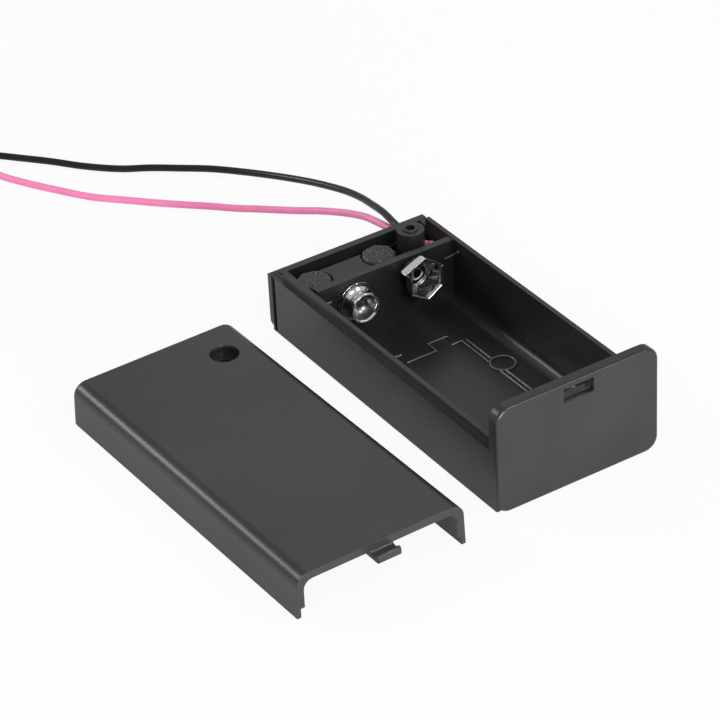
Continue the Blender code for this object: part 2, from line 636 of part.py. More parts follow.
def make_snaps(nickel, tag_nickel):
    """Both terminals on the divider, each held by an eyelet that also holds its solder tag."""
    hole = RIVET_RADIUS + SLIP
    male = [(hole, 0, 0), (SNAP_FLANGE, 0, 0), (SNAP_FLANGE, SHEET, 0), (MALE_RADIUS, SHEET, 0),
            (MALE_NECK + 0.15, 0.7, 0), (MALE_NECK, 1.3, 0), (MALE_NECK + 0.05, 1.9, 0),
            (MALE_RADIUS - 0.1, MALE_REACH - 0.8, 0), (MALE_RADIUS, MALE_REACH - 0.45, 0),
            (MALE_RADIUS - 0.1, MALE_REACH - 0.15, 0), (MALE_RADIUS - 0.3, MALE_REACH, 0),
            (MALE_RADIUS - 0.5, MALE_REACH - 0.1, 0), (MALE_RADIUS - 0.6, MALE_REACH - 0.4, 0),
            (MALE_NECK - SHEET, 1.9, 0), (MALE_NECK - SHEET, 0.8, 0), (MALE_NECK - SHEET - 0.2, SHEET, 0),
            (hole, SHEET, 0)]
    female = [(hole, 0, 0), (SNAP_FLANGE, 0, 0), (SNAP_FLANGE, SHEET, 0), (FEMALE_NECK + 0.1, SHEET, 0),
              (FEMALE_NECK, 0.9, 0.3), (FEMALE_FLAT - 0.42, 1.8, 0.8),
              (FEMALE_FLAT - 0.27, FEMALE_REACH - 0.8, 0.95),
              (FEMALE_FLAT - 0.1, FEMALE_REACH - 0.3, 1), (FEMALE_FLAT, FEMALE_REACH - 0.05, 1),
              (FEMALE_FLAT - 0.15, FEMALE_REACH, 1), (FEMALE_FLAT - 0.42, FEMALE_REACH - 0.4, 1),
              (FEMALE_FLAT - 0.62, FEMALE_REACH - 1.0, 0.95), (FEMALE_FLAT - 0.42 - SHEET, 1.8, 0.8),
              (FEMALE_NECK - SHEET, 0.9, 0.3), (FEMALE_NECK - SHEET - 0.25, SHEET, 0), (hole, SHEET, 0)]
    for name, y, z, profile in (("male_stud", MALE_Y, MALE_HEIGHT, male),
                                ("female_socket", FEMALE_Y, FEMALE_HEIGHT, female)):
        solid(name, facing_front(pressed(profile), DIVIDER_BAY_X + SEAT, y, z), nickel[name])
    front = SEAT + SHEET + SEAT
    rear = RIVET_REAR_X - DIVIDER_BAY_X
    thick = RIVET_HEAD_THICKNESS
    eyelet = [(RIVET_BORE, front + thick * 0.8), (RIVET_BORE + 0.3, front + thick),
              (RIVET_HEAD - 0.2, front + thick * 0.9), (RIVET_HEAD, front + thick * 0.4),
              (RIVET_HEAD - 0.05, front), (RIVET_RADIUS, front), (RIVET_RADIUS, rear),
              (RIVET_REAR_HEAD, rear),
              (RIVET_REAR_HEAD, rear - thick * 0.6), (RIVET_REAR_HEAD - 0.3, rear - thick),
              (RIVET_BORE + 0.15, rear - thick), (RIVET_BORE, rear - thick * 0.7)]
    half = TAG_LUG_WIDTH / 2
    start = math.degrees(math.asin(half / TAG_RADIUS))
    disc = arc(0, 0, TAG_RADIUS, 90 + start, 450 - start, 28)
    up = disc + [(half, TAG_LUG_REACH), (-half, TAG_LUG_REACH)]
    aside = [(b, a) for a, b in disc + [(half, TAG_LUG_SIDE), (-half, TAG_LUG_SIDE)]]
    for (kind, y, z), outline in zip(TERMINALS, (up, aside)):
        rivet = facing_front(turned(eyelet, 24), DIVIDER_BAY_X, y, z)
        solid(kind + "_rivet", rivet, nickel[kind + "_rivet"])
        tag = solid(kind + "_tag", prism("X", [(y + a, z + b) for a, b in outline], TAG_REAR_X, TAG_X))
        combine(tag, [facing_front(rod(hole, -2, 2, 24), TAG_X, y, z)], "DIFFERENCE")
        dress(tag, tag_nickel[kind + "_tag"])


# Switch

def make_switch():
    plastic = finish("black_retainer", (0.06, 0.06, 0.062), 0.3)
    reach = POST_SPACING / 2 + EAR_HALF_WIDTH
    ears = half_round_bar(SWITCH_X - EAR_HALF_WIDTH, SWITCH_X + EAR_HALF_WIDTH,
                          SWITCH_SIDE - reach, SWITCH_SIDE + reach)
    retainer = solid("switch_retainer", prism("Z", ears, RETAINER_UNDERSIDE, EAR_TOP))
    bridge = solid("bridge", box(SWITCH_X - BRIDGE_HALF_WIDTH, SWITCH_X + BRIDGE_HALF_WIDTH,
                                 SWITCH_SIDE - POST_SPACING / 2, SWITCH_SIDE + POST_SPACING / 2,
                                 EAR_TOP - 0.5, EAR_TOP + BRIDGE_RISE))
    notches = []
    holes = []
    for side in (-1, 1):
        y = SWITCH_SIDE + side * POST_SPACING / 2
        notch = rod(BRIDGE_NOTCH, EAR_TOP - 1, EAR_TOP + BRIDGE_RISE + 1, 40)
        hole = rod(POST_RADIUS + SLIP, RETAINER_UNDERSIDE - 1, EAR_TOP + 1, 24)
        notches.append(moved(notch, SWITCH_X, y, 0))
        holes.append(moved(hole, SWITCH_X, y, 0))
    combine(bridge, notches, "DIFFERENCE")
    top = bmesh.new()
    top.from_mesh(bridge.data)
    bmesh.ops.scale(top, vec=(1 / MM, 1 / MM, 1 / MM), verts=top.verts[:])
    bpy.data.objects.remove(bridge)
    combine(retainer, [top], "UNION")
    combine(retainer, holes, "DIFFERENCE")
    dress(retainer, plastic)

    knob_low = KNOB_RECESS
    plate_low = FLOOR + SEAT
    plate_high = plate_low + SLIDER_PLATE_THICKNESS
    y = SLIDER_REST_Y
    knob = box(SWITCH_X - KNOB_WIDTH / 2, SWITCH_X + KNOB_WIDTH / 2, y - KNOB_LENGTH / 2, y + KNOB_LENGTH / 2,
               knob_low, plate_low + BITE)
    slider = solid("switch_slider", knob)
    plate = rounded_box(SWITCH_X - SLIDER_PLATE_WIDTH / 2, SWITCH_X + SLIDER_PLATE_WIDTH / 2,
                        y - SLIDER_PLATE_LENGTH / 2, y + SLIDER_PLATE_LENGTH / 2, 0.6, 3)
    block = box(SWITCH_X - SLIDER_BLOCK_WIDTH / 2, SWITCH_X + SLIDER_BLOCK_WIDTH / 2,
                y - SLIDER_BLOCK_LENGTH / 2, y + SLIDER_BLOCK_LENGTH / 2, plate_high - BITE, SLIDER_TOP)
    combine(slider, [prism("Z", plate, plate_low, plate_high), block], "UNION")
    grooves = []
    for i in (-1, 0, 1):
        middle = y + i * KNOB_LENGTH / 4
        grooves.append(box(SWITCH_X - KNOB_WIDTH, SWITCH_X + KNOB_WIDTH, middle - KNOB_GROOVE / 2,
                           middle + KNOB_GROOVE / 2, 0, knob_low + KNOB_GROOVE))
    combine(slider, grooves, "DIFFERENCE")
    dress(slider, finish("black_slider", (0.05, 0.05, 0.05), 0.5))

    low, high = SLIDER_TOP + SEAT + WIPER_THICKNESS / 2, CONTACT_UNDERSIDE - SEAT - WIPER_THICKNESS / 2
    rise = high - low
    half = [(0.35, low), (WIPER_BUMP - 1.0, low + 0.15 * rise), (WIPER_BUMP - 0.45, low + 0.8 * rise)]
    half += [(WIPER_BUMP, high), (WIPER_BUMP + 0.4, low + 0.8 * rise)]
    half += [(WIPER_BUMP + 0.65, low + 0.35 * rise)]
    line = [(y - a, z) for a, z in reversed(half)] + [(y + a, z) for a, z in half]
    wiper = prism("X", [(a, b) for a, b in strip_outline(line, WIPER_THICKNESS)],
                  SWITCH_X - WIPER_WIDTH / 2, SWITCH_X + WIPER_WIDTH / 2)
    solid("switch_wiper", wiper, finish("bronze_wiper", (0.75, 0.5, 0.25), 0.3, 1.0))
    return y


def make_contacts():
    """Two fixed strips under the retainer. The wiper joins them when it is slid over."""
    near_bump = SWITCH_SIDE + TRAVEL / 2
    far_bump = SWITCH_SIDE - TRAVEL / 2
    lead_y0, lead_y1 = near_bump + WIPER_BUMP - 1.6, near_bump + WIPER_BUMP + 0.9
    link_y0, link_y1 = far_bump - WIPER_BUMP - 0.7, near_bump - WIPER_BUMP + 0.45
    half, lug = CONTACT_WIDTH / 2, CONTACT_LUG_WIDTH / 2
    x = SWITCH_X
    lug_y = lead_y1 - lug
    lead = [(x - half, lead_y0), (x + half, lead_y0), (x + half, lead_y1), (WALL_IN_X + 0.5, lead_y1),
            (WALL_IN_X + 0.5, lug_y - lug), (x - half, lug_y - lug)]
    solid("switch_contact_lead", prism("Z", lead, CONTACT_UNDERSIDE, CONTACT_TOP),
          finish("brass_contact_lead", (0.78, 0.6, 0.3), 0.3, 1.0))
    out = RIVET_REAR_X - RIVET_HEAD_THICKNESS - 0.6
    link = [(x - half, link_y0), (x + half, link_y0), (x + half, link_y1 - 2 * lug),
            (out, link_y1 - 2 * lug), (out, link_y1), (x - half, link_y1)]
    solid("switch_contact_link", prism("Z", link, CONTACT_UNDERSIDE, CONTACT_TOP),
          finish("brass_contact_link", (0.78, 0.6, 0.3), 0.3, 1.0))
    return lug_y, link_y1 - lug, out


# Wires

def smooth_line(points, step):
    """A smooth curve through the points, read at equal steps."""
    points = [Vector(p) for p in points]
    fine = [points[0]]
    for i in range(len(points) - 1):
        p0, p1, p2 = points[max(i - 1, 0)], points[i], points[i + 1]
        p3 = points[min(i + 2, len(points) - 1)]
        for k in range(1, 13):
            t = k / 12
            fine.append(0.5 * (2 * p1 + (p2 - p0) * t + (2 * p0 - 5 * p1 + 4 * p2 - p3) * t * t
                               + (3 * p1 - p0 - 3 * p2 + p3) * t ** 3))
    total = sum((b - a).length for a, b in zip(fine, fine[1:]))
    count = max(round(total / step), 2)
    return read_along(fine, [total * i / count for i in range(count + 1)])


def read_along(line, stations):
    """Points of a line at the given lengths along it."""
    read, walked, i = [], 0.0, 0
    for station in stations:
        while i < len(line) - 2 and walked + (line[i + 1] - line[i]).length < station:
            walked += (line[i + 1] - line[i]).length
            i += 1
        part = (line[i + 1] - line[i]).length
        read.append(line[i].lerp(line[i + 1], min(max((station - walked) / part, 0), 1)))
    return read


def line_length(line):
    return sum((b - a).length for a, b in zip(line, line[1:]))


def tube(name, line, radius, material):
    curve = bpy.data.curves.new(name, "CURVE")
    curve.dimensions = "3D"
    curve.bevel_depth = radius * MM
    curve.bevel_resolution = 2
    curve.use_fill_caps = True
    spline = curve.splines.new("POLY")
    spline.points.add(len(line) - 1)
    for point, place in zip(spline.points, line):
        point.co = (*(place * MM), 1.0)
    curve.materials.append(material)
    made = bpy.data.objects.new(name, curve)
    bpy.context.scene.collection.objects.link(made)
    return made


def coil_line(radius, closing, start, length, step):
    """A flat turn about the coil's middle, anticlockwise from the angle start, drawing in as it goes."""
    line, t, walked = [], start, 0.0
    while walked < length:
        reach = radius - closing * (t - start) / (2 * math.pi)
        line.append(Vector((COIL_X + reach * math.cos(t), COIL_Y + reach * math.sin(t), COIL_Z)))
        t += step / reach
        walked += step
    return line


# The leads' routes, by hand: out of the end wall, down to the table, and to their coil
BLACK_ROUTE = (
    (END_X - SEAT, LEAD_HOLE_SIDE, LEAD_HOLE_HIGH), (-37.9, 12.0, 11.1), (-40.8, 12.5, 10.95),
    (-43.6, 13.0, 10.6), (-48.8, 13.8, 9.5), (-53.1, 14.3, 8.6), (-58.3, 14.3, 7.5), (-64.8, 13.4, 6.1),
    (-71.0, 12.1, 4.7), (-77.9, 9.7, 3.35), (-84.6, 6.6, 2.2), (-90.2, 3.2, 1.4), (-94.8, -1.0, 0.92),
    (-98.8, -5.5, 0.75), (-102.2, -10.4, 0.7), (-107.4, -15.5, 0.7), (-113.3, -20.0, 0.7),
    (-118.8, -24.8, 0.75), (-124.0, -29.6, 0.95),
)
RED_ROUTE = (
    (END_X - SEAT, LEAD_HOLE_SIDE, LEAD_HOLE_LOW), (-38.4, 11.8, 9.5), (-41.5, 11.4, 9.4),
    (-45.5, 11.1, 8.9), (-47.8, 10.8, 8.4), (-50.6, 10.4, 7.6), (-53.3, 9.8, 6.8), (-57.9, 8.2, 5.5),
    (-61.8, 6.2, 4.4), (-65.8, 4.1, 3.4), (-69.7, 2.0, 2.5), (-74.2, -0.9, 1.6), (-78.6, -3.9, 1.05),
    (-82.4, -7.3, 0.8), (-86.1, -10.8, 0.7), (-91.2, -15.6, 0.7), (-96.5, -20.4, 0.7),
    (-104.0, -25.1, 0.7), (-109.2, -28.1, 0.72), (-113.8, -30.4, 0.8), (-118.4, -31.8, 0.95),
)


def free_lead(name, route, radius, closing, start, color):
    """One loose lead, its bare end, and where it lies in its coil."""
    fine = smooth_line([*route, *coil_line(radius, closing, start, 2 * LEAD_LENGTH, 1.5)], 0.25)
    stations = round(LEAD_LENGTH / LEAD_STEP)
    line = read_along(fine, [LEAD_LENGTH * i / stations for i in range(stations + 1)])
    tube(name, line, LEAD_RADIUS, finish(name + "_pvc", color, 0.35))
    bare_start = LEAD_LENGTH + SEAT
    bare = read_along(fine, [bare_start + BARE_LENGTH * i / 5 for i in range(6)])
    tube(name + "_end", bare, BARE_RADIUS, finish(name + "_tinned", TINNED, 0.3, 1.0))


def make_leads():
    black_start, red_start = math.radians(BLACK_COIL_START), math.radians(RED_COIL_START)
    free_lead("black_lead", BLACK_ROUTE, BLACK_COIL_RADIUS, 0.0, black_start, BLACK_PVC)
    free_lead("red_lead", RED_ROUTE, RED_COIL_RADIUS, RED_COIL_CLOSING, red_start, RED_PVC)
    t = math.radians(TIE_TURN)
    red_reach = RED_COIL_RADIUS - RED_COIL_CLOSING * (t - red_start) / (2 * math.pi)
    inner, outer = red_reach - LEAD_RADIUS - TIE_SLACK, BLACK_COIL_RADIUS + LEAD_RADIUS + SEAT
    low, high = COIL_Z - LEAD_RADIUS - SEAT, COIL_Z + LEAD_RADIUS + SEAT
    outside = rounded_box(inner - TIE_THICKNESS, outer + TIE_THICKNESS, low - TIE_THICKNESS,
                          high + TIE_THICKNESS, 0.8, 4)
    inside = rounded_box(inner, outer, low, high, 0.5, 4)
    band = solid("lead_tie", prism("Y", outside, -TIE_WIDTH / 2, TIE_WIDTH / 2))
    combine(band, [prism("Y", inside, -TIE_WIDTH, TIE_WIDTH)], "DIFFERENCE")
    dress(band, finish("black_tie", (0.03, 0.03, 0.03), 0.5))
    band.rotation_euler.z = t
    band.location = (COIL_X * MM, COIL_Y * MM, 0)


def blob(name, x, y, z, half_x, half_y, half_z):
    """A solder joint."""
    profile = arc(0, 0, 1, -90, 90, 8)
    profile[0], profile[-1] = (0, -1), (0, 1)
    bm = turned(profile, 12)
    bmesh.ops.scale(bm, vec=(half_x, half_y, half_z), verts=bm.verts[:])
    return solid(name, moved(bm, x, y, z), finish(name + "_tin", (0.7, 0.7, 0.7), 0.3, 1.0))


def make_wiring(lead_lug_y, link_lug_y, link_lug_x):
    joint_x = TAG_REAR_X - SEAT - 0.5
    wire_x = joint_x + 0.05
    red_y = FEMALE_Y + TAG_LUG_SIDE
    turn_y = BOSS_SIDE + BOSS_RADIUS + LEAD_RADIUS
    red = [(END_X, LEAD_HOLE_SIDE, LEAD_HOLE_LOW), (WALL_IN_X + 0.2, LEAD_HOLE_SIDE, LEAD_HOLE_LOW),
           (BOSS_X - 2.6, turn_y + 0.35, LEAD_HOLE_LOW + 0.1), (BOSS_X, turn_y + 0.75, LEAD_HOLE_LOW + 0.9),
           (BOSS_X + 1.8, turn_y + 0.1, LEAD_HOLE_LOW + 2.0),
           (wire_x - 0.2, red_y + 1.3, FEMALE_HEIGHT + 0.7), (wire_x, red_y + 0.65, FEMALE_HEIGHT + 0.1)]
    tube("red_lead_inside", smooth_line(red, 0.9), LEAD_RADIUS, finish("red_inside_pvc", RED_PVC, 0.35))
    blob("solder_red", joint_x, red_y - 0.75, FEMALE_HEIGHT, 0.5, 1.15, 0.65)
    wall_x = WALL_IN_X + LEAD_RADIUS + 0.3
    low = LEAD_HOLE_HIGH - 1.5
    black = [(END_X, LEAD_HOLE_SIDE, LEAD_HOLE_HIGH), (WALL_IN_X - 0.2, LEAD_HOLE_SIDE, LEAD_HOLE_HIGH),
             (wall_x - 0.1, LEAD_HOLE_SIDE - 0.9, LEAD_HOLE_HIGH),
             (wall_x, LEAD_HOLE_SIDE - 3.0, low + 0.5),
             (wall_x, lead_lug_y + 5.0, low), (wall_x, lead_lug_y + 2.2, CONTACT_TOP + 1.0)]
    tube("black_lead_inside", smooth_line(black, 0.9), LEAD_RADIUS,
         finish("black_inside_pvc", BLACK_PVC, 0.35))
    blob("solder_black", wall_x, lead_lug_y + 0.4, CONTACT_TOP + SEAT + 0.6, 0.6, 1.1, 0.6)
    lug_z = MALE_HEIGHT + TAG_LUG_REACH - 0.8
    link = [(link_lug_x, link_lug_y + 1.6, CONTACT_TOP + 1.1),
            (link_lug_x, link_lug_y + 1.7, CONTACT_TOP + 2.3),
            (joint_x, MALE_Y + 2.6, lug_z - 0.2), (joint_x, MALE_Y + 1.5, lug_z)]
    tube("link_wire", smooth_line(link, 0.6), LINK_RADIUS, finish("link_tinned", TINNED, 0.3, 1.0))
    blob("solder_link_switch", link_lug_x, link_lug_y + 0.5, CONTACT_TOP + SEAT + 0.5, 0.4, 0.9, 0.5)
    blob("solder_link_tag", joint_x, MALE_Y + 0.3, lug_z, 0.5, 1.1, 0.65)


def main():
    for thing in list(bpy.data.objects):
        bpy.data.objects.remove(thing, do_unlink=True)
    make_tray()
    make_lid()
    metals = {n: finish("nickel_" + n, (0.82, 0.82, 0.8), 0.18, 1.0)
              for n in ("male_stud", "female_socket", "male_rivet", "female_rivet")}
    tags = {n: finish("nickel_" + n, (0.8, 0.79, 0.76), 0.3, 1.0) for n in ("male_tag", "female_tag")}
    make_snaps(metals, tags)
    make_switch()
    make_wiring(*make_contacts())
    make_leads()


main()
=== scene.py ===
import math

import bmesh
import bpy
from mathutils import Matrix, Vector, noise


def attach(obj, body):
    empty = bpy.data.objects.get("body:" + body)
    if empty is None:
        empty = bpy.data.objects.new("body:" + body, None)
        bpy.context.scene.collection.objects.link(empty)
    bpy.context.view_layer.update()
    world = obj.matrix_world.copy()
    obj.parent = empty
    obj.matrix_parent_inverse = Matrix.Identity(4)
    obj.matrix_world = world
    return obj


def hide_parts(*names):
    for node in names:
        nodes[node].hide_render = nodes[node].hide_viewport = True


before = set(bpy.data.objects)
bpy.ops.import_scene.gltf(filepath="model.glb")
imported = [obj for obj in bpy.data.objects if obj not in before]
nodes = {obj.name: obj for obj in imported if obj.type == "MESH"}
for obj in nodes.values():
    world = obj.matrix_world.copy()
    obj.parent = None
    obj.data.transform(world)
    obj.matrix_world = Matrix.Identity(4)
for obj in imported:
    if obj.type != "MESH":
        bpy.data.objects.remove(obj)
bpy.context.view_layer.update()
mm = 0.001
print("frame loaded:", len(nodes), "nodes")


# Camera, solved from the photo's box edges

cameraSet = {
    "azimuth": 31.657, "elevation": 33.652, "roll": -3.053,  # degrees
    "target": (-17.843, -9.350, 0.0), "distance": 620.85,  # mm
    "lens": 172.82, "sensor": 36.0,  # mm
    "clipStart": 0.05,  # metres
}


def addCamera(c):
    az, el, roll = (math.radians(c[k]) for k in ("azimuth", "elevation", "roll"))
    back = Vector((math.cos(el) * math.cos(az), -math.cos(el) * math.sin(az), math.sin(el)))
    right = Vector((0, 0, 1)).cross(back).normalized()
    up = back.cross(right)
    turn = Matrix((right, up, back)).transposed().to_4x4() @ Matrix.Rotation(roll, 4, "Z")
    data = bpy.data.cameras.new("photoCamera")
    data.lens = c["lens"]
    data.sensor_width = c["sensor"]
    data.clip_start = c["clipStart"]
    camera = bpy.data.objects.new("photoCamera", data)
    camera.matrix_world = Matrix.Translation((Vector(c["target"]) + back * c["distance"]) * mm) @ turn
    bpy.context.scene.collection.objects.link(camera)
    bpy.context.scene.camera = camera


addCamera(cameraSet)
print("camera placed")


# Material helpers

def newMaterial(name):
    material = bpy.data.materials.new(name)
    material.use_nodes = True
    tree = material.node_tree
    shader = tree.nodes["Principled BSDF"]
    return material, tree, shader


def objectNoise(tree, scale, detail=2.0, roughness=0.5):
    place = tree.nodes.new("ShaderNodeTexCoord")
    node = tree.nodes.new("ShaderNodeTexNoise")
    node.inputs["Scale"].default_value = scale
    node.inputs["Detail"].default_value = detail
    node.inputs["Roughness"].default_value = roughness
    tree.links.new(place.outputs["Object"], node.inputs["Vector"])
    return node.outputs["Fac"]


# Spreads a value over low to high; a noise lies mostly between 0.3 and 0.7
def ranged(tree, value, low, high, fromLow=0.3, fromHigh=0.7):
    node = tree.nodes.new("ShaderNodeMapRange")
    for name, number in (("From Min", fromLow), ("From Max", fromHigh), ("To Min", low), ("To Max", high)):
        node.inputs[name].default_value = number
    tree.links.new(value, node.inputs["Value"])
    return node.outputs["Result"]


def colorMix(tree, factor, first, second):
    node = tree.nodes.new("ShaderNodeMix")
    node.data_type = "RGBA"
    tree.links.new(factor, node.inputs["Factor"])
    node.inputs["A"].default_value = (*first, 1.0)
    node.inputs["B"].default_value = (*second, 1.0)
    return node.outputs["Result"]


def bumpFrom(tree, height, strength, distance, under=None):
    node = tree.nodes.new("ShaderNodeBump")
    node.inputs["Strength"].default_value = strength
    node.inputs["Distance"].default_value = distance
    tree.links.new(height, node.inputs["Height"])
    if under:
        tree.links.new(under, node.inputs["Normal"])
    return node.outputs["Normal"]


# Moulded black plastic: fine spark grain, faint sink ripples and a slightly uneven gloss

absFinish = {
    "dark": (0.016, 0.016, 0.017), "light": (0.022, 0.022, 0.0233),
    "ior": 1.43, "roughness": (0.27, 0.37),
    "grainScale": 3200.0, "grainDetail": 3.0, "grainRoughness": 0.6,
    "grainStrength": 0.3, "grainDepth": 0.00003,
    "rippleScale": 60.0, "rippleStrength": 0.2, "rippleDepth": 0.00003,
}


def moldedAbs(name, finish, lift=1.0):
    material, tree, shader = newMaterial(name)
    grain = objectNoise(tree, finish["grainScale"], finish["grainDetail"], finish["grainRoughness"])
    ripple = objectNoise(tree, finish["rippleScale"])
    dark, light = (tuple(v * lift for v in finish[k]) for k in ("dark", "light"))
    tree.links.new(colorMix(tree, ranged(tree, ripple, 0, 1), dark, light), shader.inputs["Base Color"])
    tree.links.new(ranged(tree, grain, *finish["roughness"]), shader.inputs["Roughness"])
    soft = bumpFrom(tree, ripple, finish["rippleStrength"], finish["rippleDepth"])
    rough = bumpFrom(tree, grain, finish["grainStrength"], finish["grainDepth"], soft)
    tree.links.new(rough, shader.inputs["Normal"])
    shader.inputs["IOR"].default_value = finish["ior"]
    return material


trayAbs = moldedAbs("trayAbs", absFinish)
lidAbs = moldedAbs("lidAbs", {**absFinish, "ior": 1.48}, lift=1.2)
retainerFinish = {**absFinish, "roughness": (0.26, 0.3), "grainDepth": 0.000008}
retainerAbs = moldedAbs("retainerAbs", retainerFinish, lift=0.7)
# painted highlight: the strokes' plastic is glossier and eight times lighter in colour, so the narrow
# beads read bright
strokeHighlightAbs = moldedAbs("strokeHighlightAbs", {**absFinish, "ior": 1.5, "roughness": (0.14, 0.2)}, lift=8.0)
meltedFinish = {**absFinish, "roughness": (0.16, 0.34), "grainDepth": 0.00008}
meltedAbs = moldedAbs("meltedAbs", meltedFinish, lift=3.0)


# Metals: clouds of a duller shade, and a faint bump where the metal isn't plated

metalSet = {"detail": 3.0, "scale": 700.0, "plateScale": 400.0, "bumpStrength": 0.3, "bumpDepth": 0.00001}


def plainMetal(name, color, darker, rough, scale=metalSet["scale"], depth=metalSet["bumpDepth"]):
    material, tree, shader = newMaterial(name)
    shader.inputs["Metallic"].default_value = 1.0
    cloud = objectNoise(tree, scale, metalSet["detail"])
    tree.links.new(colorMix(tree, ranged(tree, cloud, 0, 1), color, darker), shader.inputs["Base Color"])
    tree.links.new(ranged(tree, cloud, *rough), shader.inputs["Roughness"])
    if depth:
        tree.links.new(bumpFrom(tree, cloud, metalSet["bumpStrength"], depth), shader.inputs["Normal"])
    return material


def evenNickel(name, color, darker, rough):
    return plainMetal(name, color, darker, rough, metalSet["plateScale"], 0)


# Bright plate with painted shade low on the terminal: darker up to one distance along +X and bright from
# another, in metres
def shadeRampNickel(name, bright, darker, rough, shadedTo, brightFrom):
    material, tree, shader = newMaterial(name)
    shader.inputs["Metallic"].default_value = 1.0
    place = tree.nodes.new("ShaderNodeTexCoord")
    along = tree.nodes.new("ShaderNodeSeparateXYZ")
    tree.links.new(place.outputs["Object"], along.inputs["Vector"])
    cloud = objectNoise(tree, metalSet["plateScale"], metalSet["detail"])
    share = ranged(tree, along.outputs["X"], 0, 1, shadedTo, brightFrom)
    tree.links.new(colorMix(tree, share, darker, bright), shader.inputs["Base Color"])
    tree.links.new(ranged(tree, cloud, *rough), shader.inputs["Roughness"])
    return material


# X of the divider's bay side, and the heights over it between which the socket's painted shade gives way
# to the bright plate, in mm
snapFace = -22.98
socketShadedTo, socketBrightFrom = 1.3, 1.9
brightPlate = (0.84, 0.84, 0.83)

nickelStud = evenNickel("nickelStud", brightPlate, (0.78, 0.78, 0.77), (0.08, 0.14))
# painted shade: a near-black copy of the nickel for the flat ring beside each flange, which mirrors the
# dark bay
nickelFlatShade = evenNickel("nickelFlatShade", (0.05, 0.05, 0.05), (0.03, 0.03, 0.03), (0.2, 0.28))
# the socket's plate is painted dark low down by the divider: painted shade
nickelSocketShaded = shadeRampNickel("nickelSocketShaded", brightPlate, (0.07, 0.07, 0.07), (0.08, 0.14),
                           (snapFace + socketShadedTo) * mm, (snapFace + socketBrightFrom) * mm)
# painted shade: a dark copy of the nickel for the rivets, which sit deep in the shaded cups
nickelEyeletShade = evenNickel("nickelEyeletShade", (0.22, 0.22, 0.22), (0.16, 0.16, 0.16), (0.18, 0.26))
# painted shade: darker copies of the plate for the stud's cup and the sheets' inner sides
nickelCupShade = evenNickel("nickelCupShade", (0.34, 0.34, 0.34), (0.26, 0.26, 0.26), (0.26, 0.34))
nickelPetalShade = evenNickel("nickelPetalShade", (0.5, 0.5, 0.5), (0.42, 0.42, 0.42), (0.2, 0.26))
tinned = plainMetal("tinnedCopper", (0.78, 0.78, 0.77), (0.6, 0.59, 0.57), (0.2, 0.35))
solder = plainMetal("solderTin", (0.75, 0.75, 0.76), (0.55, 0.55, 0.56), (0.15, 0.4))
brass = plainMetal("contactBrass", (0.78, 0.58, 0.28), (0.62, 0.43, 0.2), (0.2, 0.35))
bronze = plainMetal("wiperBronze", (0.72, 0.45, 0.22), (0.55, 0.33, 0.16), (0.22, 0.35))


# PVC insulation, a little uneven along its length

pvcSet = {"cloudScale": 260.0, "fineScale": 2600.0, "bumpStrength": 0.15, "bumpDepth": 0.00003}


def leadPvc(name, color, shade, rough, gloss):
    material, tree, shader = newMaterial(name)
    cloud = objectNoise(tree, pvcSet["cloudScale"])
    fine = objectNoise(tree, pvcSet["fineScale"])
    tree.links.new(colorMix(tree, ranged(tree, cloud, 0, 1), color, shade), shader.inputs["Base Color"])
    tree.links.new(ranged(tree, fine, *rough), shader.inputs["Roughness"])
    bump = bumpFrom(tree, fine, pvcSet["bumpStrength"], pvcSet["bumpDepth"])
    tree.links.new(bump, shader.inputs["Normal"])
    shader.inputs["Specular IOR Level"].default_value = gloss
    return material


redPvc = leadPvc("redPvc", (0.94, 0.26, 0.5), (0.91, 0.22, 0.45), (0.32, 0.42), 0.5)
blackPvc = leadPvc("blackPvc", (0.004, 0.004, 0.0045), (0.008, 0.008, 0.009), (0.22, 0.3), 0.4)
tiePlastic = leadPvc("tiePlastic", (0.006, 0.006, 0.006), (0.01, 0.01, 0.01), (0.35, 0.5), 0.4)


# Making pieces

pieceSet = {
    "mergeDistance": 2e-6,  # metres
    "flatAngle": 0.5, "roundAngle": 28, "keptSharp": 50,  # degrees
    "roundSegments": 2, "normalWeight": 80,
}


# A new piece goes on the holder and hides the node it stands for, unless it only adds to it
def addPiece(name, data, material, node, replaces=True):
    piece = bpy.data.objects.new(name, data)
    data.materials.append(material)
    bpy.context.scene.collection.objects.link(piece)
    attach(piece, "holder")
    if replaces:
        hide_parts(node)
    return piece


def meshFrom(name, bm, angle=32):
    mesh = bpy.data.meshes.new(name)
    bm.to_mesh(mesh)
    bm.free()
    mesh.shade_smooth()
    mesh.set_sharp_from_angle(angle=math.radians(angle))
    return mesh


# A CAD node's mesh with its triangles joined, and its flat faces made one again
def mergedCopy(node):
    bm = bmesh.new()
    bm.from_mesh(nodes[node].data)
    bmesh.ops.remove_doubles(bm, verts=bm.verts[:], dist=pieceSet["mergeDistance"])
    flat = math.radians(pieceSet["flatAngle"])
    bmesh.ops.dissolve_limit(bm, angle_limit=flat, verts=bm.verts[:], edges=bm.edges[:])
    return bm


# Rounds each edge that turns by more than the angle and has its top between the two heights, in metres
def edgeRound(bm, width, low=-1.0, high=1.0):
    least = math.radians(pieceSet["roundAngle"])
    sharp = [e for e in bm.edges if len(e.link_faces) == 2 and e.calc_face_angle() > least
             and low < max(v.co.z for v in e.verts) < high]
    bmesh.ops.bevel(bm, geom=sharp, offset=width, offset_type="OFFSET", affect="EDGES",
                    segments=pieceSet["roundSegments"], profile=0.5, clamp_overlap=True, material=-1)
    return bm


# Keeps flat faces flat where they meet a small rounded edge
def evenNormals(piece):
    piece.data.shade_smooth()
    piece.data.set_sharp_from_angle(angle=math.radians(pieceSet["keptSharp"]))
    step = piece.modifiers.new("evenNormals", "WEIGHTED_NORMAL")
    step.weight = pieceSet["normalWeight"]
    step.keep_sharp = True


